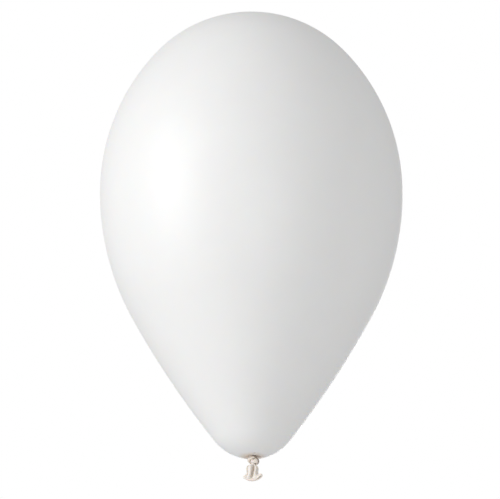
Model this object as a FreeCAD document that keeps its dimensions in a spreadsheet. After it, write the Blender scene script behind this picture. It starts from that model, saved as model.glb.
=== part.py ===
"""Tied latex balloon: one dip-moulded film, modelled region by region, from the crown to the rolled lip.

Millimetres, +Z up along the balloon's axis. The origin is where a ribbon is tied: the middle of the
gathered neck, between the inflated envelope and the knot. The flattened tail is wide along X.
"""
import FreeCAD, Part
import math
import os

import Sketcher
from FreeCAD import Vector

DIMENSIONS = {
    # Inflated envelope: six tangent arcs, from the crown down to the fold around the neck.
    "diameter": 280.0,
    "crown_radius": 121.0,
    "shoulder_radius": 194.0,
    "belly_radius": 250.0,
    "belly_angle": 28.0,
    "flank_radius": 885.0,
    "base_radius": 44.0,
    "film_thickness": 0.05,
    # The fold where the film turns up into the neck.
    "fold_radius": 5.0,
    "fold_ring_radius": 8.0,
    "fold_ring_height": -0.8,
    "neck_hole_radius": 4.0,
    # Gathered neck: a pleated waist that flares into the fold.
    "waist_radius": 2.6,
    "flare_radius": 1.2,
    "flare_start_height": -0.2,
    "neck_bottom_height": -1.3,
    "pleat_root_radius": 2.2,
    "pleat_outer_radius": 4.6,
    "pleat_half_width": 0.55,
    "pleat_count": 8,
    # Overhand knot, tied in the twisted neck.
    "knot_centre_height": -5.0,
    "strand_diameter": 2.2,
    "knot_spread_x": 3.4,
    "knot_spread_y": 3.2,
    "knot_spread_z": 2.1,
    # Tail: pinched throat, flattened sleeve and rolled lip. Each section is a slot, two runs and two ends.
    "throat_top_height": -8.8,
    "throat_length": 2.3,
    "throat_top_half_run": 0.3,
    "throat_top_end_radius": 1.2,
    "skirt_length": 11.6,
    "skirt_top_half_run": 1.8,
    "skirt_top_end_radius": 1.5,
    "mouth_half_run": 6.1,
    "mouth_end_radius": 1.8,
    "skirt_wall": 0.4,
    "lip_bead_radius": 0.9,
}

# Route of the knot's strand, from the middle of its bight to the end that leaves at the top, in units
# of knot_spread_x, _y and _z. The other half is this one turned half a turn about Y.
BIGHT_MIDDLE = Vector(0, 0.92, 0)
KNOT_HALF_ROUTE = [
    Vector(0.85, 0.85, -0.62),
    Vector(1.15, -0.05, -1.10),
    Vector(0.70, -0.95, -1.14),
    Vector(-0.15, -1.20, -0.68),
    Vector(-0.60, -0.62, -0.08),
    Vector(-0.12, -0.05, 0.55),
    Vector(0, 0, 1.65),
]
ROUTE_ROUNDING = 0.45


def make_sheet(document):
    """Put every driving dimension in a spreadsheet, one alias each."""
    sheet = document.addObject("Spreadsheet::Sheet", "Dims")
    for row, (alias, value) in enumerate(DIMENSIONS.items(), start=1):
        sheet.set(f"A{row}", alias)
        sheet.set(f"B{row}", str(value))
        sheet.setAlias(f"B{row}", alias)
    document.recompute()
    return sheet


def new_body(document, label):
    body = document.addObject("PartDesign::Body", label)
    body.Label = label
    return body


def new_sketch(body, name, role, height="0"):
    """A sketch on one of the body's own origin planes, raised by the expression in height."""
    plane = next(item for item in body.Origin.OriginFeatures if item.Role == role)
    sketch = body.newObject("Sketcher::SketchObject", name)
    sketch.AttachmentSupport = [(plane, "")]
    sketch.MapMode = "FlatFace"
    sketch.setExpression("AttachmentOffset.Base.z", height)
    return sketch


def constrain(sketch, *constraint, value=None):
    """Add a constraint, and bind its value to the sheet when it has one."""
    if value is None:
        sketch.addConstraint(Sketcher.Constraint(*constraint))
        return
    index = sketch.addConstraint(Sketcher.Constraint(*constraint, float(sketch.evalExpression(value))))
    sketch.setExpression(f"Constraints[{index}]", value)


def add_arc(sketch, centre_x, centre_y, radius, start_angle, end_angle):
    """Add a counter-clockwise arc and return its index."""
    circle = Part.Circle(Vector(centre_x, centre_y, 0), Vector(0, 0, 1), radius)
    return sketch.addGeometry(Part.ArcOfCircle(circle, start_angle, end_angle), False)


def add_line(sketch, start, end):
    return sketch.addGeometry(Part.LineSegment(Vector(*start, 0), Vector(*end, 0)), False)


def turn_about_axis(body, sketch, kind):
    """Turn a sketch in the XZ plane all the way round Z, as a "Revolution" or a "Groove"."""
    feature = body.newObject(f"PartDesign::{kind}", f"{body.Label}_{kind}")
    feature.Profile = sketch
    feature.ReferenceAxis = (sketch, ["V_Axis"])
    feature.Angle = 360.0
    return feature


def envelope_outline(body, name, size, inner):
    """The envelope's outline in the XZ plane: its outside, or its inside one film thickness further in."""
    sketch = new_sketch(body, name, "XZ_Plane")
    inset = size["film_thickness"] if inner else 0.0
    radius = {
        arc: size[f"{arc}_radius"] - inset
        for arc in ("crown", "shoulder", "belly", "flank", "base", "fold")
    }
    half_width = size["diameter"] / 2 - inset
    hole = size["neck_hole_radius"] + 2 * inset

    # Where the tangent arcs meet: centres, then sweeps measured from the horizontal.
    fold_x = size["fold_ring_radius"]
    fold_y = size["fold_ring_height"] + size["fold_radius"]
    fold_turn = math.acos((fold_x - hole) / radius["fold"])
    rim_y = fold_y - radius["fold"] * math.sin(fold_turn)
    fold_start = -math.acos(fold_x / (radius["base"] - radius["fold"]))
    base_y = fold_y - (radius["base"] - radius["fold"]) * math.sin(fold_start)
    belly_x = half_width - radius["belly"]
    belly_sweep = math.radians(size["belly_angle"])
    flank_x = belly_x - (radius["flank"] - radius["belly"]) * math.cos(belly_sweep)
    flank_sweep = math.acos(-flank_x / (radius["flank"] - radius["base"]))
    flank_y = base_y + (radius["flank"] - radius["base"]) * math.sin(flank_sweep)
    equator_y = flank_y - (radius["flank"] - radius["belly"]) * math.sin(belly_sweep)
    shoulder_x = half_width - radius["shoulder"]
    shoulder_sweep = math.acos(-shoulder_x / (radius["shoulder"] - radius["crown"]))
    crown_y = equator_y + (radius["shoulder"] - radius["crown"]) * math.sin(shoulder_sweep)

    crown = add_arc(sketch, 0, crown_y, radius["crown"], shoulder_sweep, math.pi / 2)
    shoulder = add_arc(sketch, shoulder_x, equator_y, radius["shoulder"], 0, shoulder_sweep)
    belly = add_arc(sketch, belly_x, equator_y, radius["belly"], -belly_sweep, 0)
    flank = add_arc(sketch, flank_x, flank_y, radius["flank"], -flank_sweep, -belly_sweep)
    base = add_arc(sketch, 0, base_y, radius["base"], fold_start, -flank_sweep)
    fold = add_arc(sketch, fold_x, fold_y, radius["fold"], fold_turn - math.pi, fold_start)
    rim = add_line(sketch, (hole, rim_y), (0, rim_y))
    axis = add_line(sketch, (0, rim_y), (0, crown_y + radius["crown"]))

    start, end, centre, origin, vertical = 1, 2, 3, -1, -2
    for upper, lower in ((crown, shoulder), (shoulder, belly), (belly, flank), (flank, base), (base, fold)):
        constrain(sketch, "Tangent", upper, start, lower, end)
    constrain(sketch, "Coincident", fold, start, rim, start)
    constrain(sketch, "Coincident", rim, end, axis, start)
    constrain(sketch, "Coincident", axis, end, crown, end)
    constrain(sketch, "Horizontal", rim)
    for item, point in ((rim, end), (crown, end), (crown, centre), (base, centre)):
        constrain(sketch, "PointOnObject", item, point, vertical)
    constrain(sketch, "Horizontal", shoulder, centre, shoulder, start)

    film = "Dims.film_thickness" if inner else "0"
    for item, arc in zip((crown, shoulder, belly, flank, base, fold), radius):
        constrain(sketch, "Radius", item, value=f"Dims.{arc}_radius - {film}")
    constrain(sketch, "DistanceX", origin, start, belly, end, value=f"Dims.diameter / 2 - {film}")
    constrain(sketch, "DistanceY", belly, start, belly, end,
              value=f"(Dims.belly_radius - {film}) * sin(Dims.belly_angle * 1 deg)")
    constrain(sketch, "DistanceX", origin, start, fold, centre, value="Dims.fold_ring_radius")
    constrain(sketch, "DistanceY", origin, start, fold, centre,
              value="Dims.fold_ring_height + Dims.fold_radius")
    constrain(sketch, "DistanceX", origin, start, fold, start,
              value=f"Dims.neck_hole_radius + 2 * {film}")
    return sketch


def make_balloon_body(document, size):
    """The inflated film, open at the neck: the outside turned about Z, less the inside turned about Z."""
    body = new_body(document, "balloon_body")
    outside = envelope_outline(body, "EnvelopeOutside", size, inner=False)
    envelope = turn_about_axis(body, outside, "Revolution")
    document.recompute()
    solid_volume = envelope.Shape.Volume

    inside = envelope_outline(body, "EnvelopeInside", size, inner=True)
    hollow = turn_about_axis(body, inside, "Groove")
    document.recompute()
    if hollow.Shape.Volume > 0.01 * solid_volume:
        raise ValueError("the envelope was not hollowed")
    return body


def make_neck_gather(document, size):
    """The gathered neck: a waist that flares up into the fold, with a ring of pleat grooves."""
    body = new_body(document, "neck_gather")
    sketch = new_sketch(body, "NeckOutline", "XZ_Plane")
    waist = size["waist_radius"]
    flare = size["flare_radius"]
    flare_start = size["flare_start_height"]
    bottom = size["neck_bottom_height"]
    axis = add_line(sketch, (0, flare_start + flare), (0, bottom))
    floor = add_line(sketch, (0, bottom), (waist, bottom))
    wall = add_line(sketch, (waist, bottom), (waist, flare_start))
    flare_arc = add_arc(sketch, waist + flare, flare_start, flare, math.pi / 2, math.pi)
    top = add_line(sketch, (waist + flare, flare_start + flare), (0, flare_start + flare))

    start, end, centre, origin, vertical = 1, 2, 3, -1, -2
    constrain(sketch, "Coincident", axis, end, floor, start)
    constrain(sketch, "Coincident", floor, end, wall, start)
    constrain(sketch, "Tangent", wall, end, flare_arc, end)
    constrain(sketch, "Coincident", flare_arc, start, top, start)
    constrain(sketch, "Coincident", top, end, axis, start)
    constrain(sketch, "Horizontal", floor)
    constrain(sketch, "Horizontal", top)
    constrain(sketch, "Vertical", wall)
    constrain(sketch, "PointOnObject", axis, start, vertical)
    constrain(sketch, "PointOnObject", axis, end, vertical)
    constrain(sketch, "Vertical", flare_arc, centre, flare_arc, start)
    constrain(sketch, "Radius", flare_arc, value="Dims.flare_radius")
    constrain(sketch, "DistanceX", origin, start, wall, start, value="Dims.waist_radius")
    constrain(sketch, "DistanceY", origin, start, wall, end, value="Dims.flare_start_height")
    constrain(sketch, "DistanceY", origin, start, wall, start, value="Dims.neck_bottom_height")
    turn_about_axis(body, sketch, "Revolution")
    document.recompute()

    notch = new_sketch(body, "PleatNotch", "XY_Plane")
    root = (size["pleat_root_radius"], 0)
    left = (size["pleat_outer_radius"], size["pleat_half_width"])
    right = (size["pleat_outer_radius"], -size["pleat_half_width"])
    lower = add_line(notch, root, right)
    mouth = add_line(notch, right, left)
    upper = add_line(notch, left, root)
    constrain(notch, "Coincident", lower, end, mouth, start)
    constrain(notch, "Coincident", mouth, end, upper, start)
    constrain(notch, "Coincident", upper, end, lower, start)
    constrain(notch, "PointOnObject", lower, start, origin)
    constrain(notch, "Vertical", mouth)
    constrain(notch, "DistanceX", origin, start, lower, start, value="Dims.pleat_root_radius")
    constrain(notch, "DistanceX", origin, start, mouth, start, value="Dims.pleat_outer_radius")
    constrain(notch, "DistanceY", origin, start, mouth, end, value="Dims.pleat_half_width")
    constrain(notch, "DistanceY", mouth, start, mouth, end, value="2 * Dims.pleat_half_width")

    groove = body.newObject("PartDesign::Pocket", "PleatGroove")
    groove.Profile = notch
    groove.Type = "ThroughAll"
    groove.Midplane = True
    document.recompute()

    ring = body.newObject("PartDesign::PolarPattern", "PleatRing")
    ring.Originals = [groove]
    ring.Axis = (notch, ["N_Axis"])
    ring.Angle = 360.0
    ring.setExpression("Occurrences", "Dims.pleat_count")
    body.Tip = ring
    return body


def rounded_wire(points, rounding):
    """Straight runs through the points, each corner rounded by an arc tangent to both of its runs."""
    edges = []
    last_point = points[0]
    for before, corner, after in zip(points, points[1:], points[2:]):
        back = before - corner
        ahead = after - corner
        cut = rounding * min(back.Length, ahead.Length)
        half_turn = (math.pi - back.getAngle(ahead)) / 2
        radius = cut / math.tan(half_turn)
        towards_centre = (back.normalize() + ahead.normalize()).normalize()
        arc_start = corner + back * cut
        arc_middle = corner + towards_centre * (radius / math.cos(half_turn) - radius)
        arc_end = corner + ahead * cut
        edges.append(Part.LineSegment(last_point, arc_start).toShape())
        edges.append(Part.Arc(arc_start, arc_middle, arc_end).toShape())
        last_point = arc_end
    edges.append(Part.LineSegment(last_point, points[-1]).toShape())
    return Part.Wire(edges)


def make_knot(document, size):
    """An overhand knot in the neck's strand: in at the top, round itself once, and out at the bottom."""
    spread = (size["knot_spread_x"], size["knot_spread_y"], size["knot_spread_z"])
    second_half = [Vector(-point.x, point.y, -point.z) for point in KNOT_HALF_ROUTE]
    route = list(reversed(KNOT_HALF_ROUTE)) + [BIGHT_MIDDLE] + second_half
    route = [Vector(*(along * unit for along, unit in zip(point, spread))) for point in route]
    path = rounded_wire(route, ROUTE_ROUNDING)
    strand_radius = size["strand_diameter"] / 2
    section = Part.Wire(Part.Circle(route[0], route[1] - route[0], strand_radius).toShape())
    knot = document.addObject("Part::Feature", "knot")
    knot.Label = "knot"
    knot.Shape = path.makePipeShell([section], True, False)
    knot.Placement.Base = Vector(0, 0, size["knot_centre_height"])

    expected = math.pi * strand_radius ** 2 * path.Length
    if abs(knot.Shape.Volume / expected - 1) > 0.01:
        raise ValueError(f"knot volume {knot.Shape.Volume:.2f} is not {expected:.2f}")
    return knot


def slot_sketch(body, name, size, section, height="0", inner=False):
    """A slot round the vertical axis, from SECTION_half_run and SECTION_end_radius in the sheet.

    The inner slot lies one skirt wall inside it.
    """
    sketch = new_sketch(body, name, "XY_Plane", height)
    half_run = size[f"{section}_half_run"]
    radius = size[f"{section}_end_radius"] - (size["skirt_wall"] if inner else 0.0)
    front = add_line(sketch, (-half_run, -radius), (half_run, -radius))
    right = add_arc(sketch, half_run, 0, radius, -math.pi / 2, math.pi / 2)
    back = add_line(sketch, (half_run, radius), (-half_run, radius))
    left = add_arc(sketch, -half_run, 0, radius, math.pi / 2, 3 * math.pi / 2)

    start, end, centre, origin = 1, 2, 3, -1
    for first, second in ((front, right), (right, back), (back, left), (left, front)):
        constrain(sketch, "Tangent", first, end, second, start)
    constrain(sketch, "Horizontal", front)
    constrain(sketch, "PointOnObject", right, centre, origin)
    constrain(sketch, "PointOnObject", left, centre, origin)
    wall = "Dims.skirt_wall" if inner else "0"
    constrain(sketch, "Radius", right, value=f"Dims.{section}_end_radius - {wall}")
    constrain(sketch, "DistanceX", origin, start, right, centre, value=f"Dims.{section}_half_run")
    constrain(sketch, "DistanceX", left, centre, origin, start, value=f"Dims.{section}_half_run")
    return sketch


def slot_loft(body, size, top_section, bottom_section, length, inner=False):
    """A ruled loft down from one slot to another, which adds, or cuts when it is the inner one."""
    kind = "Subtractive" if inner else "Additive"
    name = f"{body.Label}_{kind}"
    loft = body.newObject(f"PartDesign::{kind}Loft", name)
    loft.Profile = slot_sketch(body, f"{name}_top", size, top_section, inner=inner)
    loft.Sections = [slot_sketch(body, f"{name}_bottom", size, bottom_section, f"-{length}", inner)]
    loft.Ruled = True


def make_tail_throat(document, size):
    """The pinched film just below the knot."""
    body = new_body(document, "tail_throat")
    slot_loft(body, size, "throat_top", "skirt_top", "Dims.throat_length")
    body.setExpression("Placement.Base.z", "Dims.throat_top_height")
    return body


def make_tail_skirt(document, size):
    """The loose end of the neck: a flattened sleeve that widens to its mouth, open at both ends."""
    body = new_body(document, "tail_skirt")
    slot_loft(body, size, "skirt_top", "mouth", "Dims.skirt_length")
    document.recompute()
    solid_volume = body.Shape.Volume
    slot_loft(body, size, "skirt_top", "mouth", "Dims.skirt_length", inner=True)
    document.recompute()
    if body.Shape.Volume > 0.5 * solid_volume:
        raise ValueError("the tail's sleeve was not hollowed")
    body.setExpression("Placement.Base.z", "Dims.throat_top_height - Dims.throat_length")
    return body


def make_rolled_lip(document, size):
    """The bead of rolled film round the mouth."""
    body = new_body(document, "rolled_lip")
    path = slot_sketch(body, "LipPath", size, "mouth")
    section = new_sketch(body, "LipSection", "XZ_Plane")
    end_x = size["mouth_half_run"] + size["mouth_end_radius"]
    bead = Part.Circle(Vector(end_x, 0, 0), Vector(0, 0, 1), size["lip_bead_radius"])
    circle = section.addGeometry(bead, False)
    start, centre, origin = 1, 3, -1
    constrain(section, "Radius", circle, value="Dims.lip_bead_radius")
    constrain(section, "PointOnObject", circle, centre, origin)
    constrain(section, "DistanceX", origin, start, circle, centre,
              value="Dims.mouth_half_run + Dims.mouth_end_radius")
    pipe = body.newObject("PartDesign::AdditivePipe", "LipBead")
    pipe.Profile = section
    pipe.Spine = (path, ["Edge1", "Edge2", "Edge3", "Edge4"])
    body.setExpression(
        "Placement.Base.z",
        "Dims.throat_top_height - Dims.throat_length - Dims.skirt_length - Dims.lip_bead_radius",
    )
    return body


def check_and_export(document, parts):
    """Stop at any failed object or bad shape, then write one STEP file per sub-part."""
    document.recompute()
    for item in document.Objects:
        if "Invalid" in item.State or "Error" in item.State:
            raise ValueError(f"{item.Name} failed: {item.State}")
    for part in parts:
        if part.Shape.isNull() or not part.Shape.isValid():
            raise ValueError(f"{part.Label} has no valid shape")
    os.makedirs("parts", exist_ok=True)
    for part in parts:
        part.Shape.exportStep(f"parts/{part.Label}.step")
        box = part.Shape.BoundBox
        print(f"{part.Label}: {len(part.Shape.Solids)} solid, {part.Shape.Volume:.2f} mm3, "
              f"z {box.ZMin:.2f} to {box.ZMax:.2f}, x {box.XLength:.2f}, y {box.YLength:.2f}")


def main():
    document = FreeCAD.newDocument("TiedBalloon")
    sheet = make_sheet(document)
    size = {alias: float(sheet.get(alias)) for alias in DIMENSIONS}
    makers = (
        make_balloon_body,
        make_neck_gather,
        make_knot,
        make_tail_throat,
        make_tail_skirt,
        make_rolled_lip,
    )
    parts = [maker(document, size) for maker in makers]
    check_and_export(document, parts)


main()
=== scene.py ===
import math

import bmesh
import bpy
import numpy as np
from mathutils import Matrix, Vector


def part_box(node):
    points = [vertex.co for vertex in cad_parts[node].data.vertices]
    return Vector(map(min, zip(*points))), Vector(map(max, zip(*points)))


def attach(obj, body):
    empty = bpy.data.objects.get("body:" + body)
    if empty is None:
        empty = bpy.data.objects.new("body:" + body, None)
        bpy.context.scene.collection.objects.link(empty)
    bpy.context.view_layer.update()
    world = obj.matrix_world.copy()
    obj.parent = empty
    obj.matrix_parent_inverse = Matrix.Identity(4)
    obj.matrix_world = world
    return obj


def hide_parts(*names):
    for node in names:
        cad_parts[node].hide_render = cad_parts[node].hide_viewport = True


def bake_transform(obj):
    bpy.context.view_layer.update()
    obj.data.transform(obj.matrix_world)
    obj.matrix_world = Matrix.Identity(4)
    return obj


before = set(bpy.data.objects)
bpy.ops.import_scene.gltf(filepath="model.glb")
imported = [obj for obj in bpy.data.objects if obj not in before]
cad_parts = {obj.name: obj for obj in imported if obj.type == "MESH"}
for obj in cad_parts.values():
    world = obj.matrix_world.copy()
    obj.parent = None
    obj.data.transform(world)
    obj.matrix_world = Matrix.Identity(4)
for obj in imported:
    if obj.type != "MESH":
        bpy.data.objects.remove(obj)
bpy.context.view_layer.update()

MM = 0.001
TURN = 2 * math.pi

# Places that the pieces are built from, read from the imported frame.
ENVELOPE_LOW, ENVELOPE_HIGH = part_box("balloon_body")
NECK_LOW, NECK_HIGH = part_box("neck_gather")
KNOT_LOW, KNOT_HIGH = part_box("knot")
THROAT_LOW, THROAT_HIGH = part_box("tail_throat")
MOUTH_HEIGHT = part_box("tail_skirt")[0].z

# How finely the pieces are meshed: points round each one, and rings down it or along it.
POINTS_ROUND = {"envelope": 288, "neck": 208, "strand": 56, "sleeve": 300, "lip": 28}
RINGS = {"neck": 46, "sleeve": 110, "lip": 320}


# ---------------------------------------------------------------- shared mesh tools

def smoothstep(low, high, value):
    """0 below low, 1 above high, with a smooth change between them."""
    share = np.clip((value - low) / (high - low), 0.0, 1.0)
    return share * share * (3 - 2 * share)


def angles_round(count):
    """Evenly spaced angles round a full turn."""
    return np.linspace(0, TURN, count, endpoint=False)


def grid_object(name, rings, wrap=False, close_top=False, close_bottom=False):
    """A mesh of quads through rings of points, shape (ring, point, 3), each ring closed on itself.

    wrap joins the last ring to the first. close_top and close_bottom shut an end with a fan.
    """
    ring_count, point_count, _ = rings.shape
    vertices = rings.reshape(-1, 3).tolist()
    faces = []
    for ring in range(ring_count if wrap else ring_count - 1):
        upper = ring * point_count
        lower = ((ring + 1) % ring_count) * point_count
        for point in range(point_count):
            following = (point + 1) % point_count
            faces.append((upper + point, lower + point, lower + following, upper + following))
    if close_top:
        pole = len(vertices)
        vertices.append(rings[0].mean(axis=0).tolist())
        faces += [(point, (point + 1) % point_count, pole) for point in range(point_count)]
    if close_bottom:
        pole = len(vertices)
        last = (ring_count - 1) * point_count
        vertices.append(rings[-1].mean(axis=0).tolist())
        faces += [(last + (point + 1) % point_count, last + point, pole) for point in range(point_count)]
    mesh = bpy.data.meshes.new(name)
    mesh.from_pydata(vertices, [], faces)
    piece = bpy.data.objects.new(name, mesh)
    bpy.context.scene.collection.objects.link(piece)
    shade_smooth(piece)
    return piece


def shade_smooth(piece):
    piece.data.polygons.foreach_set("use_smooth", [True] * len(piece.data.polygons))
    piece.data.update()


def apply_modifiers(piece):
    """Bake a piece's modifiers into its mesh."""
    evaluated = piece.evaluated_get(bpy.context.evaluated_depsgraph_get())
    baked = bpy.data.meshes.new_from_object(evaluated)
    piece.modifiers.clear()
    piece.data = baked
    shade_smooth(piece)


def swept_band(path, section_at, point_count, heart, pull):
    """Rings round a path of points, flat towards a heart point that the band winds round.

    section_at(share, angles) gives one ring's offsets away from the heart and across the band. The
    ring's frame is carried along the path, and pull turns it a little towards the heart at each step.
    """
    tangents = np.gradient(path, axis=0)
    tangents /= np.linalg.norm(tangents, axis=1)[:, None]
    angles = angles_round(point_count)
    away = np.cross(tangents[0], (1.0, 0.0, 0.0))
    rings = []
    for index, (centre, tangent) in enumerate(zip(path, tangents)):
        away = away + pull * (centre - heart)
        away -= tangent * away.dot(tangent)
        away /= np.linalg.norm(away)
        across = np.cross(tangent, away)
        offsets = section_at(index / (len(path) - 1), angles)
        rings.append(centre + offsets[0][:, None] * away + offsets[1][:, None] * across)
    return np.array(rings)


def paint_crease_shade(piece, reach, rounds):
    """Store a crease attribute for painted shade: 0 on open film, 1 where a point lies reach below its
    surroundings.

    The surroundings are the mesh smoothed over its neighbours that many rounds.
    """
    mesh = piece.data
    count = len(mesh.vertices)
    places = np.empty(3 * count)
    mesh.vertices.foreach_get("co", places)
    places = places.reshape(-1, 3)
    normals = np.empty(3 * count)
    mesh.vertex_normals.foreach_get("vector", normals)
    normals = normals.reshape(-1, 3)
    pairs = np.empty(2 * len(mesh.edges), dtype=np.int32)
    mesh.edges.foreach_get("vertices", pairs)
    first, second = pairs.reshape(-1, 2).T
    neighbours = np.bincount(pairs, minlength=count)
    smoothed = places
    for _ in range(rounds):
        sums = []
        for axis in range(3):
            from_second = np.bincount(first, smoothed[second, axis], count)
            from_first = np.bincount(second, smoothed[first, axis], count)
            sums.append(from_second + from_first)
        smoothed = np.stack(sums, axis=1) / neighbours[:, None]
    depth = ((smoothed - places) * normals).sum(axis=1)
    crease = mesh.attributes.new("crease", "FLOAT", "POINT")
    crease.data.foreach_set("value", smoothstep(0.0, 1.0, depth / reach))


def raise_painted_shade(piece, tone_at):
    """Raise a piece's crease shade to the painted shade from tone_at(place) wherever that is more."""
    crease = piece.data.attributes["crease"].data
    for vertex in piece.data.vertices:
        crease[vertex.index].value = max(crease[vertex.index].value, tone_at(vertex.co))


# ---------------------------------------------------------------- materials

LATEX_IOR = 1.52
ROUGHNESS_SPREAD = 0.05
GRAIN_FINENESS = 14


def latex(name, colour, shade, crease_shade, rough, mottle_scale, grain_height, scatter):
    """Latex rubber: two close tints mottled by the film's thickness, with painted shade in its creases.

    Returns the material and its crease shade mix node, so that a piece can vary the tint that goes in.
    """
    material = bpy.data.materials.new(name)
    material.use_nodes = True
    tree = material.node_tree
    shader = tree.nodes["Principled BSDF"]
    place = tree.nodes.new("ShaderNodeTexCoord")

    mottle = tree.nodes.new("ShaderNodeTexNoise")
    mottle.inputs["Scale"].default_value = mottle_scale
    mottle.inputs["Detail"].default_value = 4.0
    mottle.inputs["Roughness"].default_value = 0.55
    tree.links.new(place.outputs["Object"], mottle.inputs["Vector"])
    tint = tree.nodes.new("ShaderNodeMix")
    tint.data_type = "RGBA"
    tint.inputs["A"].default_value = (*colour, 1.0)
    tint.inputs["B"].default_value = (*shade, 1.0)
    tree.links.new(mottle.outputs["Fac"], tint.inputs["Factor"])

    crease = tree.nodes.new("ShaderNodeAttribute")
    crease.attribute_name = "crease"
    crease_shade_mix = tree.nodes.new("ShaderNodeMix")
    crease_shade_mix.data_type = "RGBA"
    crease_shade_mix.inputs["B"].default_value = (*crease_shade, 1.0)
    tree.links.new(crease.outputs["Fac"], crease_shade_mix.inputs["Factor"])
    tree.links.new(tint.outputs["Result"], crease_shade_mix.inputs["A"])
    tree.links.new(crease_shade_mix.outputs["Result"], shader.inputs["Base Color"])

    grain = tree.nodes.new("ShaderNodeTexNoise")
    grain.inputs["Scale"].default_value = mottle_scale * GRAIN_FINENESS
    grain.inputs["Detail"].default_value = 3.0
    tree.links.new(place.outputs["Object"], grain.inputs["Vector"])
    relief = tree.nodes.new("ShaderNodeBump")
    relief.inputs["Strength"].default_value = 0.5
    relief.inputs["Distance"].default_value = grain_height
    tree.links.new(grain.outputs["Fac"], relief.inputs["Height"])
    tree.links.new(relief.outputs["Normal"], shader.inputs["Normal"])

    gloss = tree.nodes.new("ShaderNodeMapRange")
    gloss.inputs["To Min"].default_value = rough - ROUGHNESS_SPREAD
    gloss.inputs["To Max"].default_value = rough + ROUGHNESS_SPREAD
    tree.links.new(mottle.outputs["Fac"], gloss.inputs["Value"])
    tree.links.new(gloss.outputs["Result"], shader.inputs["Roughness"])

    shader.inputs["IOR"].default_value = LATEX_IOR
    shader.inputs["Subsurface Weight"].default_value = 0.35
    shader.inputs["Subsurface Scale"].default_value = scatter
    shader.inputs["Subsurface Radius"].default_value = (1.0, 0.8, 0.6)
    return material, crease_shade_mix


# Tints. Stretched film is whiter, slack film is creamier, and the greys and brown are painted shade for
# creases.
STRETCHED_WHITE = (0.90, 0.90, 0.895)
STRETCHED_SHADE = (0.87, 0.87, 0.865)
SLACK_CREAM = (0.95, 0.88, 0.82)
SLACK_SHADE = (0.90, 0.81, 0.735)
COLLAR_CREAM = (0.76, 0.665, 0.58)
CREASE_SHADE_BROWN = (0.20, 0.14, 0.095)
FOLD_SHADE_GREY = (0.70, 0.625, 0.54)
LIP_SHADE_GREY = (0.55, 0.475, 0.385)


# Distances from the middle of the neck where the envelope's film begins to turn white and is white.
COLLAR_REACH = (6.0 * MM, 15.0 * MM)


def envelope_latex():
    """White stretched film, turning to cream where it is slack, in the fold round the neck."""
    material, crease_shade_mix = latex("stretched_film", STRETCHED_WHITE, STRETCHED_SHADE, CREASE_SHADE_BROWN, rough=0.42,
                             mottle_scale=28.0, grain_height=0.04 * MM, scatter=4.0 * MM)
    tree = material.node_tree
    place = tree.nodes.new("ShaderNodeTexCoord")
    reach = tree.nodes.new("ShaderNodeVectorMath")
    reach.operation = "LENGTH"
    tree.links.new(place.outputs["Object"], reach.inputs[0])
    slack = tree.nodes.new("ShaderNodeMapRange")
    slack.interpolation_type = "SMOOTHSTEP"
    slack.inputs["From Min"].default_value = COLLAR_REACH[0]
    slack.inputs["From Max"].default_value = COLLAR_REACH[1]
    slack.inputs["To Min"].default_value = 1.0
    slack.inputs["To Max"].default_value = 0.0
    tree.links.new(reach.outputs["Value"], slack.inputs["Value"])
    cream = tree.nodes.new("ShaderNodeMix")
    cream.data_type = "RGBA"
    cream.inputs["B"].default_value = (*COLLAR_CREAM, 1.0)
    tree.links.new(slack.outputs["Result"], cream.inputs["Factor"])
    tree.links.new(crease_shade_mix.inputs["A"].links[0].from_socket, cream.inputs["A"])
    tree.links.new(cream.outputs["Result"], crease_shade_mix.inputs["A"])
    return material


def slack_latex(name, crease_shade, rough):
    """Cream unstretched film, with the given tint painted as shade in its creases."""
    material, _ = latex(name, SLACK_CREAM, SLACK_SHADE, crease_shade, rough, mottle_scale=220.0,
                        grain_height=0.06 * MM, scatter=0.8 * MM)
    return material


# ---------------------------------------------------------------- envelope

# The outline's arcs, each tangent to the next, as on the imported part.
CROWN_RADIUS = 121 * MM
SHOULDER_RADIUS = 194 * MM
BELLY_RADIUS = 250 * MM
BELLY_SWEEP = math.radians(28)
FLANK_RADIUS = 885 * MM
BASE_RADIUS = 44 * MM
FOLD_RADIUS = 5 * MM
FOLD_RING_RADIUS = 8 * MM
CREASE_RADIUS = 3.9 * MM

# Pleats round the neck, which the envelope and the neck share.
PLEAT_COUNT = 13
PLEAT_SEED = 3

# The envelope's pleats: their height at the neck, and the radii between which they die away.
PUCKER_HEIGHT = 0.42 * MM
PUCKER_REACH = (4 * MM, 19 * MM)

# A small tuck in the slack film in front of the neck: its middle, depth, and spread across and back.
TUCK_MIDDLE = (2.1 * MM, -11.2 * MM)
TUCK_DEPTH = 0.38 * MM
TUCK_SPREAD = (1.7 * MM, 0.65 * MM)

# How far the envelope is from round at its belly, as a share of its radius.
OUT_OF_ROUND = 0.0015


def arc_points(centre_r, centre_z, radius, start, stop, count):
    """That count of points along an arc, without its last one. Angles are from the horizontal."""
    angles = np.linspace(start, stop, count, endpoint=False)
    return np.stack([centre_r + radius * np.cos(angles), centre_z + radius * np.sin(angles)], axis=1)


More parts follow.
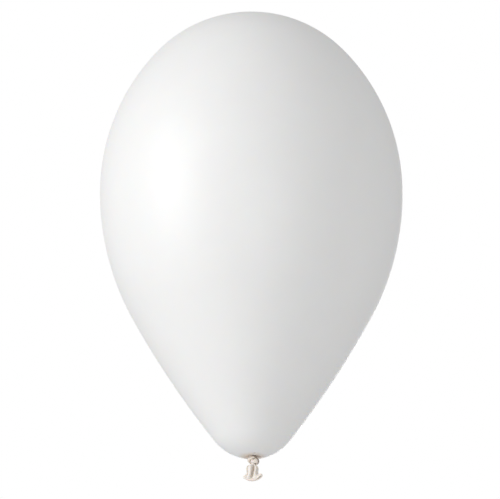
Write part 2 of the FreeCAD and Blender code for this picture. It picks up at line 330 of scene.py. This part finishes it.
def envelope_outline():
    """Radius and height from the apex down to the crease where the film turns into the neck."""
    half_width = ENVELOPE_HIGH.x
    fold_z = ENVELOPE_LOW.z + FOLD_RADIUS
    fold_stop = -math.pi + math.acos((FOLD_RING_RADIUS - CREASE_RADIUS) / FOLD_RADIUS)
    fold_start = -math.acos(FOLD_RING_RADIUS / (BASE_RADIUS - FOLD_RADIUS))
    base_z = fold_z - (BASE_RADIUS - FOLD_RADIUS) * math.sin(fold_start)
    belly_r = half_width - BELLY_RADIUS
    flank_r = belly_r - (FLANK_RADIUS - BELLY_RADIUS) * math.cos(BELLY_SWEEP)
    flank_sweep = math.acos(-flank_r / (FLANK_RADIUS - BASE_RADIUS))
    flank_z = base_z + (FLANK_RADIUS - BASE_RADIUS) * math.sin(flank_sweep)
    equator_z = flank_z - (FLANK_RADIUS - BELLY_RADIUS) * math.sin(BELLY_SWEEP)
    shoulder_r = half_width - SHOULDER_RADIUS
    shoulder_sweep = math.acos(-shoulder_r / (SHOULDER_RADIUS - CROWN_RADIUS))
    crown_z = equator_z + (SHOULDER_RADIUS - CROWN_RADIUS) * math.sin(shoulder_sweep)
    near_apex = math.pi / 2 - 0.01

    # The arcs have the most points for their length where the film puckers.
    outline = [
        arc_points(0, crown_z, CROWN_RADIUS, near_apex, shoulder_sweep, 44),
        arc_points(shoulder_r, equator_z, SHOULDER_RADIUS, shoulder_sweep, 0, 56),
        arc_points(belly_r, equator_z, BELLY_RADIUS, 0, -BELLY_SWEEP, 48),
        arc_points(flank_r, flank_z, FLANK_RADIUS, -BELLY_SWEEP, -flank_sweep, 60),
        arc_points(0, base_z, BASE_RADIUS, -flank_sweep, fold_start, 90),
        arc_points(FOLD_RING_RADIUS, fold_z, FOLD_RADIUS, fold_start, fold_stop, 26),
    ]
    return np.concatenate(outline)


def pleat_wave(angles, count, seed):
    """Uneven pleats round a circle, from -1 in the sharp valleys to 1 on the rounded ridges.

    drift makes their spacing uneven, and height how far they stand out.
    """
    random = np.random.default_rng(seed)
    phase = random.uniform(0, TURN, 4)
    drift = 0.22 * np.sin(2 * angles + phase[0]) + 0.12 * np.sin(3 * angles + phase[1])
    height = 0.75 + 0.25 * np.sin(2 * angles + phase[2])
    ridge = np.abs(np.sin(count * (angles + drift) / 2 + phase[3])) ** 0.7
    return height * (2 * ridge - 1)


def build_envelope():
    """The outline turned round its axis, puckered into pleats round the neck, with the tuck."""
    outline = envelope_outline()
    angles = angles_round(POINTS_ROUND["envelope"])
    radius = outline[:, 0][:, None] * np.ones_like(angles)
    height = outline[:, 1][:, None] * np.ones_like(angles)

    belly_share = np.sin(math.pi * np.clip(height / ENVELOPE_HIGH.z, 0, 1))
    radius = radius * (1 + OUT_OF_ROUND * belly_share * np.sin(2 * angles + 0.6))
    near_neck = (1 - smoothstep(*PUCKER_REACH, radius)) ** 2
    height = height + PUCKER_HEIGHT * near_neck * pleat_wave(angles, PLEAT_COUNT, PLEAT_SEED)
    tuck_x = radius * np.cos(angles) - TUCK_MIDDLE[0]
    tuck_y = radius * np.sin(angles) - TUCK_MIDDLE[1]
    tuck = np.exp(-(tuck_x / TUCK_SPREAD[0]) ** 2 - (tuck_y / TUCK_SPREAD[1]) ** 2)
    height = height + TUCK_DEPTH * tuck

    rings = np.stack([radius * np.cos(angles), radius * np.sin(angles), height], axis=2)
    piece = grid_object("envelope_film", rings, close_top=True)
    # Painted shade in the creases of the pleats round the neck.
    paint_crease_shade(piece, reach=0.30 * MM, rounds=24)
    piece.data.materials.append(envelope_latex())
    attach(piece, "envelope")
    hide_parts("balloon_body")


# ---------------------------------------------------------------- neck and knot

# The neck's film: its radius at the waist, how much wider it is at the top, and how much narrower where
# it goes into the knot.
WAIST_RADIUS = 2.55 * MM
NECK_FLARE = 1.45 * MM
NECK_PINCH = 1.0 * MM

# How far the film goes on up into the envelope's fold and down into the knot.
NECK_RISE = 0.35 * MM
NECK_DROP = 2.1 * MM

# Painted shade on the neck's right side, away from the light: its share of the crease shade tint, and the
# stretch in which it comes in going to the right.
NECK_SHADE_TONE = 0.9
NECK_SHADE_SIDE = (-2.2 * MM, 1.8 * MM)


def neck_side_shade(place):
    """Painted shade on the neck's pleats, deepest on the right, the side away from the light."""
    return NECK_SHADE_TONE * smoothstep(*NECK_SHADE_SIDE, place.x)


def build_neck(material):
    """The film gathered from the fold's crease down into the knot, its pleats in line with the fold's."""
    angles = angles_round(POINTS_ROUND["neck"])
    top = NECK_HIGH.z + NECK_RISE
    bottom = NECK_LOW.z - NECK_DROP
    rings = []
    for share in np.linspace(0, 1, RINGS["neck"]):
        height = top + (bottom - top) * share
        flare = (1 - smoothstep(0.0, 0.36, share)) ** 1.6
        pinch = smoothstep(0.50, 0.95, share)
        pleats = pleat_wave(angles + 0.5 * share, PLEAT_COUNT, PLEAT_SEED)
        pleat_height = (0.30 - 0.1 * flare - 0.1 * pinch) * MM
        radius = WAIST_RADIUS + NECK_FLARE * flare - NECK_PINCH * pinch + pleat_height * pleats
        level = np.full_like(angles, height)
        rings.append(np.stack([radius * np.cos(angles), radius * np.sin(angles), level], axis=1))
    piece = grid_object("neck_pleats", np.array(rings))
    # Painted shade in the pleats' creases, and more down the right side, away from the light.
    paint_crease_shade(piece, reach=0.25 * MM, rounds=40)
    raise_painted_shade(piece, neck_side_shade)
    piece.data.materials.append(material)
    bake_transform(piece)
    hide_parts("neck_gather")


# The overhand knot's route from the middle of its bight up to the neck, in knot spreads.
# The other half is this one turned half a turn about Y.
BIGHT_MIDDLE = (0, 0.92, 0)
KNOT_HALF_ROUTE = [
    (0.85, 0.85, -0.62),
    (1.15, -0.05, -1.10),
    (0.70, -0.95, -1.14),
    (-0.15, -1.20, -0.68),
    (-0.60, -0.62, -0.08),
    (-0.12, -0.05, 0.55),
    (0, 0, 1.65),
]
KNOT_SPREAD = np.array((3.4, 3.2, 2.1)) * MM


def smooth_route(corners, count):
    """A smooth curve from the first corner to the last, which rounds off those between.

    count is how many points it has for each corner that it rounds.
    """
    middles = (corners[:-1] + corners[1:]) / 2
    starts = np.concatenate([corners[:1], middles[1:-1]])
    stops = np.concatenate([middles[1:-1], corners[-1:]])
    pieces = []
    for start, corner, stop in zip(starts, corners[1:-1], stops):
        step = np.linspace(0, 1, count, endpoint=False)[:, None]
        pieces.append((1 - step) ** 2 * start + 2 * step * (1 - step) * corner + step ** 2 * stop)
    pieces.append(corners[-1:])
    return np.concatenate(pieces)


def bump(middle, reach, value):
    """1 at middle, falling smoothly to 0 at reach either side of it."""
    return 1 - smoothstep(0.0, reach, np.abs(value - middle))


# Shares of the strand's length at the middle of its two wraps across the knot's front, and how far
# each wrap reaches either side of it.
LOWER_WRAP = 0.27
UPPER_WRAP = 0.76
WRAP_REACH = 0.16

# The share at which the upper wrap crosses the middle of the front, close below the envelope, and how
# far either side of it the wrap is raised.
FRONT_MIDDLE = 0.71
FRONT_REACH = 0.11

# Pulled tight, the lower wrap rides up over the knot's front and pushes the upper one aside. These are
# along the knot's own axes, before it is turned.
LOWER_WRAP_PUSH = np.array((0.6, -1.4, 2.0)) * MM
UPPER_WRAP_PUSH = np.array((2.7, -0.2, -0.5)) * MM
FRONT_PUSH = np.array((0.0, -0.2, 1.3)) * MM

# The knot's top and right side, away from the light, get painted shade. These are the middle of the lit
# film in front, the distances from it where the painted shade begins and is full, the places where it
# does so going to the right, the stretch in which it fades going back, and its share of the crease shade
# tint.
KNOT_LIT_MIDDLE = (2.0 * MM, -5.8 * MM)
KNOT_SHADE_REACH = (2.7 * MM, 3.6 * MM)
KNOT_SHADE_SIDE = (0.8 * MM, 3.2 * MM)
KNOT_SHADE_BACK = (-0.4 * MM, 2.2 * MM)
KNOT_SHADE_TONE = 0.80

# Long creases in the strand: each one's angle round it in radians, its depth as a share of the strand's
# half size, and how far round it wanders, in radians, from one end of the strand to the other.
STRAND_CREASES = (
    (0.3, 0.10, 1.4),
    (1.6, 0.07, -0.9),
    (2.7, 0.11, 1.1),
    (3.9, 0.08, 1.7),
    (5.2, 0.10, -1.2),
)
CREASE_HALF_WIDTH = 0.17

# The strand's section in millimetres: its half size where it is round, what it loses in thickness and
# gains in width as a band, what the lower wrap gains in width, and what the upper one loses.
STRAND_HALF_SIZE = 1.50
BAND_SPREAD = 0.30
LOWER_WRAP_SPREAD = 0.60
UPPER_WRAP_THINNING = 0.22
UPPER_WRAP_NARROWING = 0.55


def strand_section(share, angles):
    """The neck's twisted film: round where it enters and leaves, and flattened to a band between.

    The lower wrap spreads the widest. Long creases run with the strand and wander as it twists.
    """
    flat = smoothstep(0.04, 0.18, share) * (1 - smoothstep(0.84, 0.97, share))
    lower = bump(LOWER_WRAP, WRAP_REACH, share)
    upper = bump(UPPER_WRAP, WRAP_REACH, share)
    half_thickness = STRAND_HALF_SIZE - BAND_SPREAD * flat - UPPER_WRAP_THINNING * upper
    half_width = STRAND_HALF_SIZE + BAND_SPREAD * flat + LOWER_WRAP_SPREAD * lower
    half_width = half_width - UPPER_WRAP_NARROWING * upper
    creased = 1.0
    for place, depth, wander in STRAND_CREASES:
        gap = (angles - place - wander * share + math.pi) % TURN - math.pi
        creased = creased - depth * np.exp(-(gap / CREASE_HALF_WIDTH) ** 2)
    away = half_thickness * creased * np.cos(angles) * MM
    across = half_width * creased * np.sin(angles) * MM
    return away, across


# The film pressed together in the knot, which leaves no way through between the wraps: its half sizes,
# and where its middle is from the knot's.
KNOT_CORE = np.array((3.3, 2.8, 2.6)) * MM
CORE_SHIFT = np.array((1.3, 0.4, 0.6)) * MM

# The knot lies turned on the neck's axis, and a little to the right of it.
KNOT_TURN = math.radians(45)
KNOT_SHIFT = np.array((0.3, 0.0, 0.0)) * MM


def add_ball(piece, centre, half_sizes):
    """Add an ellipsoid to a piece's mesh."""
    mesh = bmesh.new()
    mesh.from_mesh(piece.data)
    place = Matrix.Translation(centre) @ Matrix.Diagonal((*half_sizes, 1.0))
    bmesh.ops.create_icosphere(mesh, subdivisions=4, radius=1.0, matrix=place)
    mesh.to_mesh(piece.data)
    mesh.free()


def knot_side_shade(place):
    """Painted shade over the knot's top and down its right side, away from the light."""
    from_middle = math.hypot(place.x - KNOT_LIT_MIDDLE[0], place.z - KNOT_LIT_MIDDLE[1])
    tone = smoothstep(*KNOT_SHADE_REACH, from_middle) * smoothstep(*KNOT_SHADE_SIDE, place.x)
    fade = KNOT_SHADE_TONE * (1 - smoothstep(*KNOT_SHADE_BACK, place.y))
    return tone * fade


def build_knot(material):
    """The strand swept along its route and merged with the film pressed into the knot's middle."""
    half = np.array(KNOT_HALF_ROUTE, float)
    mirrored = half * (-1, 1, -1)
    route = np.concatenate([half[::-1], [BIGHT_MIDDLE], mirrored]) * KNOT_SPREAD
    heart = np.array((0.0, 0.0, (KNOT_LOW.z + KNOT_HIGH.z) / 2))
    path = heart + smooth_route(route, count=24)
    shares = np.linspace(0, 1, len(path))
    path += bump(LOWER_WRAP, WRAP_REACH, shares)[:, None] * LOWER_WRAP_PUSH
    path += bump(UPPER_WRAP, WRAP_REACH, shares)[:, None] * UPPER_WRAP_PUSH
    path += bump(FRONT_MIDDLE, FRONT_REACH, shares)[:, None] * FRONT_PUSH
    turn = np.array(Matrix.Rotation(KNOT_TURN, 3, "Z"))
    path = path @ turn.T + KNOT_SHIFT

    rings = swept_band(path, strand_section, POINTS_ROUND["strand"], heart, pull=60.0)
    piece = grid_object("knot_strand", rings, close_top=True, close_bottom=True)
    add_ball(piece, heart + CORE_SHIFT, KNOT_CORE)
    remesh = piece.modifiers.new("merge", "REMESH")
    remesh.mode = "VOXEL"
    remesh.voxel_size = 0.11 * MM
    soften = piece.modifiers.new("soften", "SMOOTH")
    soften.factor = 0.5
    soften.iterations = 4
    apply_modifiers(piece)
    # Painted shade in the knot's creases, and more over its top and right side, away from the light.
    paint_crease_shade(piece, reach=0.32 * MM, rounds=110)
    raise_painted_shade(piece, knot_side_shade)
    piece.data.materials.append(material)
    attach(piece, "knot")
    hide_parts("knot")


# ---------------------------------------------------------------- tail

SLEEVE_TOP = THROAT_HIGH.z + 0.9 * MM
FILM_WALL = 0.26 * MM

# The sleeve's half width in millimetres: at the knot, what it gains in the shoulders just below, how it
# waves on the way down, and what it gains at the mouth. SHOULDER_SHARE is how soon the shoulders fill.
THROAT_HALF_WIDTH = 1.5
SHOULDER_GAIN = 4.3
SHOULDER_SHARE = 0.085
SIDE_WAVE = 0.25
MOUTH_GAIN = 2.0

# Its half depth in millimetres: at the knot, what it gains below, loses at the mouth, and gains where
# the mouth's right end opens.
THROAT_HALF_DEPTH = 1.25
BELOW_DEPTH_GAIN = 0.5
MOUTH_DEPTH_LOSS = 0.6
CURL_DEPTH_GAIN = 0.9

# How far the mouth's ends are above its middle, and how far its curled right end goes to the right and
# forward. In millimetres, CURL_RISE is how far that end's back edge goes up, and CURL_FRONT_RISE how
# much further its front edge does.
MOUTH_BOW = 3.0 * MM
CURL_RIGHT = 0.5 * MM
CURL_FORWARD = 1.0 * MM
CURL_RISE = 0.4
CURL_FRONT_RISE = 1.9

# Folds of the flattened sleeve: where across its width, how far that place leans to the left on the
# way down, how wide, and how deep. Both layers go back together, or forward where depth is negative.
SLEEVE_FOLDS = (
    {"across": 0.03, "lean": 0.54, "width": 0.24, "depth": 2.7 * MM},
    {"across": 0.76, "lean": 0.06, "width": 0.09, "depth": 0.9 * MM},
    {"across": -0.74, "lean": -0.10, "width": 0.10, "depth": 0.9 * MM},
    {"across": -0.34, "lean": 0.15, "width": 0.24, "depth": -1.3 * MM},
    {"across": 0.47, "lean": 0.20, "width": 0.19, "depth": -1.1 * MM},
)


def sleeve_points(angles, share):
    """Points round the tail's sleeve, from the knot at share 0 to the mouth at share 1."""
    across = np.sign(np.cos(angles)) * np.abs(np.cos(angles)) ** 0.85
    through = np.sign(np.sin(angles)) * np.abs(np.sin(angles)) ** 0.7
    curl = smoothstep(0.15, 1.0, across) * smoothstep(0.60, 1.0, share)
    half_width = (THROAT_HALF_WIDTH + SHOULDER_GAIN * (1 - np.exp(-share / SHOULDER_SHARE))
                  + SIDE_WAVE * np.sin(7 * share + 0.6)
                  + MOUTH_GAIN * smoothstep(0.5, 1.0, share) ** 1.5) * MM
    half_depth = (THROAT_HALF_DEPTH + BELOW_DEPTH_GAIN * smoothstep(0, 0.3, share)
                  - MOUTH_DEPTH_LOSS * smoothstep(0.6, 1, share) + CURL_DEPTH_GAIN * curl) * MM
    x = half_width * across
    y = half_depth * through
    strength = smoothstep(-0.04, 0.18, share) * (1 - 0.90 * smoothstep(0.62, 1.0, share))
    for fold in SLEEVE_FOLDS:
        middle = fold["across"] - fold["lean"] * (share - 0.5)
        y = y + fold["depth"] * strength * np.exp(-((across - middle) / fold["width"]) ** 2)

    # The mouth bows down in its middle. Its right end curls out and opens, with the front edge highest.
    bow = MOUTH_BOW * across ** 2 * smoothstep(0.45, 1.0, share)
    front = smoothstep(-0.9, 0.9, -through)
    rise = (CURL_RISE + CURL_FRONT_RISE * front) * MM * curl
    z = SLEEVE_TOP + (MOUTH_HEIGHT - SLEEVE_TOP) * share + bow + rise
    return np.stack([x + CURL_RIGHT * curl, y - CURL_FORWARD * curl, z], axis=1)


def build_sleeve(material):
    """The tail's film from the knot down to the mouth, with a wall."""
    angles = angles_round(POINTS_ROUND["sleeve"])
    rings = np.array([sleeve_points(angles, share) for share in np.linspace(0.0, 1.0, RINGS["sleeve"])])
    piece = grid_object("tail_film", rings)
    wall = piece.modifiers.new("wall", "SOLIDIFY")
    wall.thickness = FILM_WALL
    wall.offset = -1.0
    apply_modifiers(piece)
    # Painted shade in the tail's folds.
    paint_crease_shade(piece, reach=0.65 * MM, rounds=160)
    piece.data.materials.append(material)
    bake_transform(piece)
    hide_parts("tail_throat", "tail_skirt")


# The rolled lip: its radius, and the step that the film's edge makes in its section: its depth as a
# share of the radius, and its place and half width in radians.
LIP_RADIUS = 0.80 * MM
EDGE_STEP = 0.08
EDGE_PLACE = 0.6 * TURN
EDGE_HALF_WIDTH = 0.25


def build_lip(material):
    """The rolled bead: a ring of sections round the mouth, with the film's edge as a shallow step."""
    path = sleeve_points(angles_round(RINGS["lip"]), 1.0)
    tangents = np.roll(path, -1, axis=0) - np.roll(path, 1, axis=0)
    tangents /= np.linalg.norm(tangents, axis=1)[:, None]
    outward = np.cross(tangents, (0.0, 0.0, 1.0))
    outward /= np.linalg.norm(outward, axis=1)[:, None]
    upward = np.cross(outward, tangents)
    angles = angles_round(POINTS_ROUND["lip"])
    step = EDGE_STEP * np.exp(-((angles - EDGE_PLACE) / EDGE_HALF_WIDTH) ** 2)
    rings = []
    for index, (centre, side, up) in enumerate(zip(path, outward, upward)):
        share = index / len(path)
        thickness = 1 + 0.06 * math.sin(TURN * 3 * share + 1) + 0.04 * math.sin(TURN * 7 * share)
        radii = (LIP_RADIUS * thickness * (1 - step))[:, None]
        rings.append(centre + radii * (np.cos(angles)[:, None] * side + np.sin(angles)[:, None] * up))
    piece = grid_object("lip_bead", np.array(rings), wrap=True)
    # Painted shade in the lip's creases.
    paint_crease_shade(piece, reach=0.30 * MM, rounds=30)
    piece.data.materials.append(material)
    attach(piece, "tail")
    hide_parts("rolled_lip")


# ---------------------------------------------------------------- stage, light and camera

VIEW_ELEVATION = math.radians(-16)
VIEW_DISTANCE = 7.0
FRAME_WIDTH = 0.462
SENSOR_WIDTH = 36.0
AIM = Vector((-1.4 * MM, 0, 197.1 * MM))
CAMERA_ROLL = math.radians(0.2)


def build_floor():
    """A plain pale floor, far below the hanging balloon."""
    size = 12.0
    height = -2.4
    mesh = bpy.data.meshes.new("floor")
    corners = [(-size, -size, height), (size, -size, height), (size, size, height), (-size, size, height)]
    mesh.from_pydata(corners, [], [(0, 1, 2, 3)])
    floor = bpy.data.objects.new("floor", mesh)
    bpy.context.scene.collection.objects.link(floor)
    material = bpy.data.materials.new("pale_floor")
    material.use_nodes = True
    shader = material.node_tree.nodes["Principled BSDF"]
    shader.inputs["Base Color"].default_value = (0.9, 0.9, 0.9, 1.0)
    shader.inputs["Roughness"].default_value = 0.9
    floor.data.materials.append(material)


def build_world(seen, cast):
    """A white backdrop all round, which lights the object less than it shows."""
    world = bpy.data.worlds.new("studio")
    world.use_nodes = True
    tree = world.node_tree
    rays = tree.nodes.new("ShaderNodeLightPath")
    strength = tree.nodes.new("ShaderNodeMapRange")
    strength.inputs["To Min"].default_value = cast
    strength.inputs["To Max"].default_value = seen
    tree.links.new(rays.outputs["Is Camera Ray"], strength.inputs["Value"])
    background = tree.nodes["Background"]
    background.inputs["Color"].default_value = (1.0, 1.0, 1.0, 1.0)
    tree.links.new(strength.outputs["Result"], background.inputs["Strength"])
    bpy.context.scene.world = world


def add_softbox(name, place, width, height, power):
    """A rectangular softbox aimed at the middle of the balloon."""
    light = bpy.data.lights.new(name, "AREA")
    light.shape = "RECTANGLE"
    light.size = width
    light.size_y = height
    light.energy = power
    softbox = bpy.data.objects.new(name, light)
    softbox.location = place
    softbox.rotation_euler = (AIM - Vector(place)).to_track_quat("-Z", "Y").to_euler()
    bpy.context.scene.collection.objects.link(softbox)


def build_camera():
    """A long lens in front of the balloon, looking up at it from below."""
    camera_data = bpy.data.cameras.new("camera")
    camera_data.sensor_width = SENSOR_WIDTH
    camera_data.lens = SENSOR_WIDTH * VIEW_DISTANCE / FRAME_WIDTH
    camera_data.clip_end = 50.0
    camera = bpy.data.objects.new("camera", camera_data)
    forward = Vector((0, math.cos(VIEW_ELEVATION), -math.sin(VIEW_ELEVATION)))
    camera.location = AIM - forward * VIEW_DISTANCE
    facing = forward.to_track_quat("-Z", "Y").to_matrix().to_4x4()
    roll = Matrix.Rotation(CAMERA_ROLL, 4, forward)
    camera.matrix_world = Matrix.Translation(camera.location) @ roll @ facing
    bpy.context.scene.collection.objects.link(camera)
    bpy.context.scene.camera = camera


# ---------------------------------------------------------------- the scene

build_camera()
build_floor()
build_world(seen=1.0, cast=0.58)
add_softbox("key", (-2.6, -1.5, 0.7), width=1.8, height=2.4, power=47)
add_softbox("fill", (0.6, -3.0, -0.5), width=2.0, height=2.0, power=13)
add_softbox("back", (0.2, 3.2, 0.6), width=1.4, height=1.4, power=13)

# Each film's tint here is the painted shade for its creases.
knot_latex = slack_latex("slack_film", CREASE_SHADE_BROWN, rough=0.40)
tail_latex = slack_latex("tail_film", FOLD_SHADE_GREY, rough=0.42)
lip_latex = slack_latex("rolled_film", LIP_SHADE_GREY, rough=0.46)
build_envelope()
build_neck(knot_latex)
build_knot(knot_latex)
build_sleeve(tail_latex)
build_lip(lip_latex)

scene = bpy.context.scene
scene.view_settings.view_transform = "Standard"
scene.view_settings.look = "None"
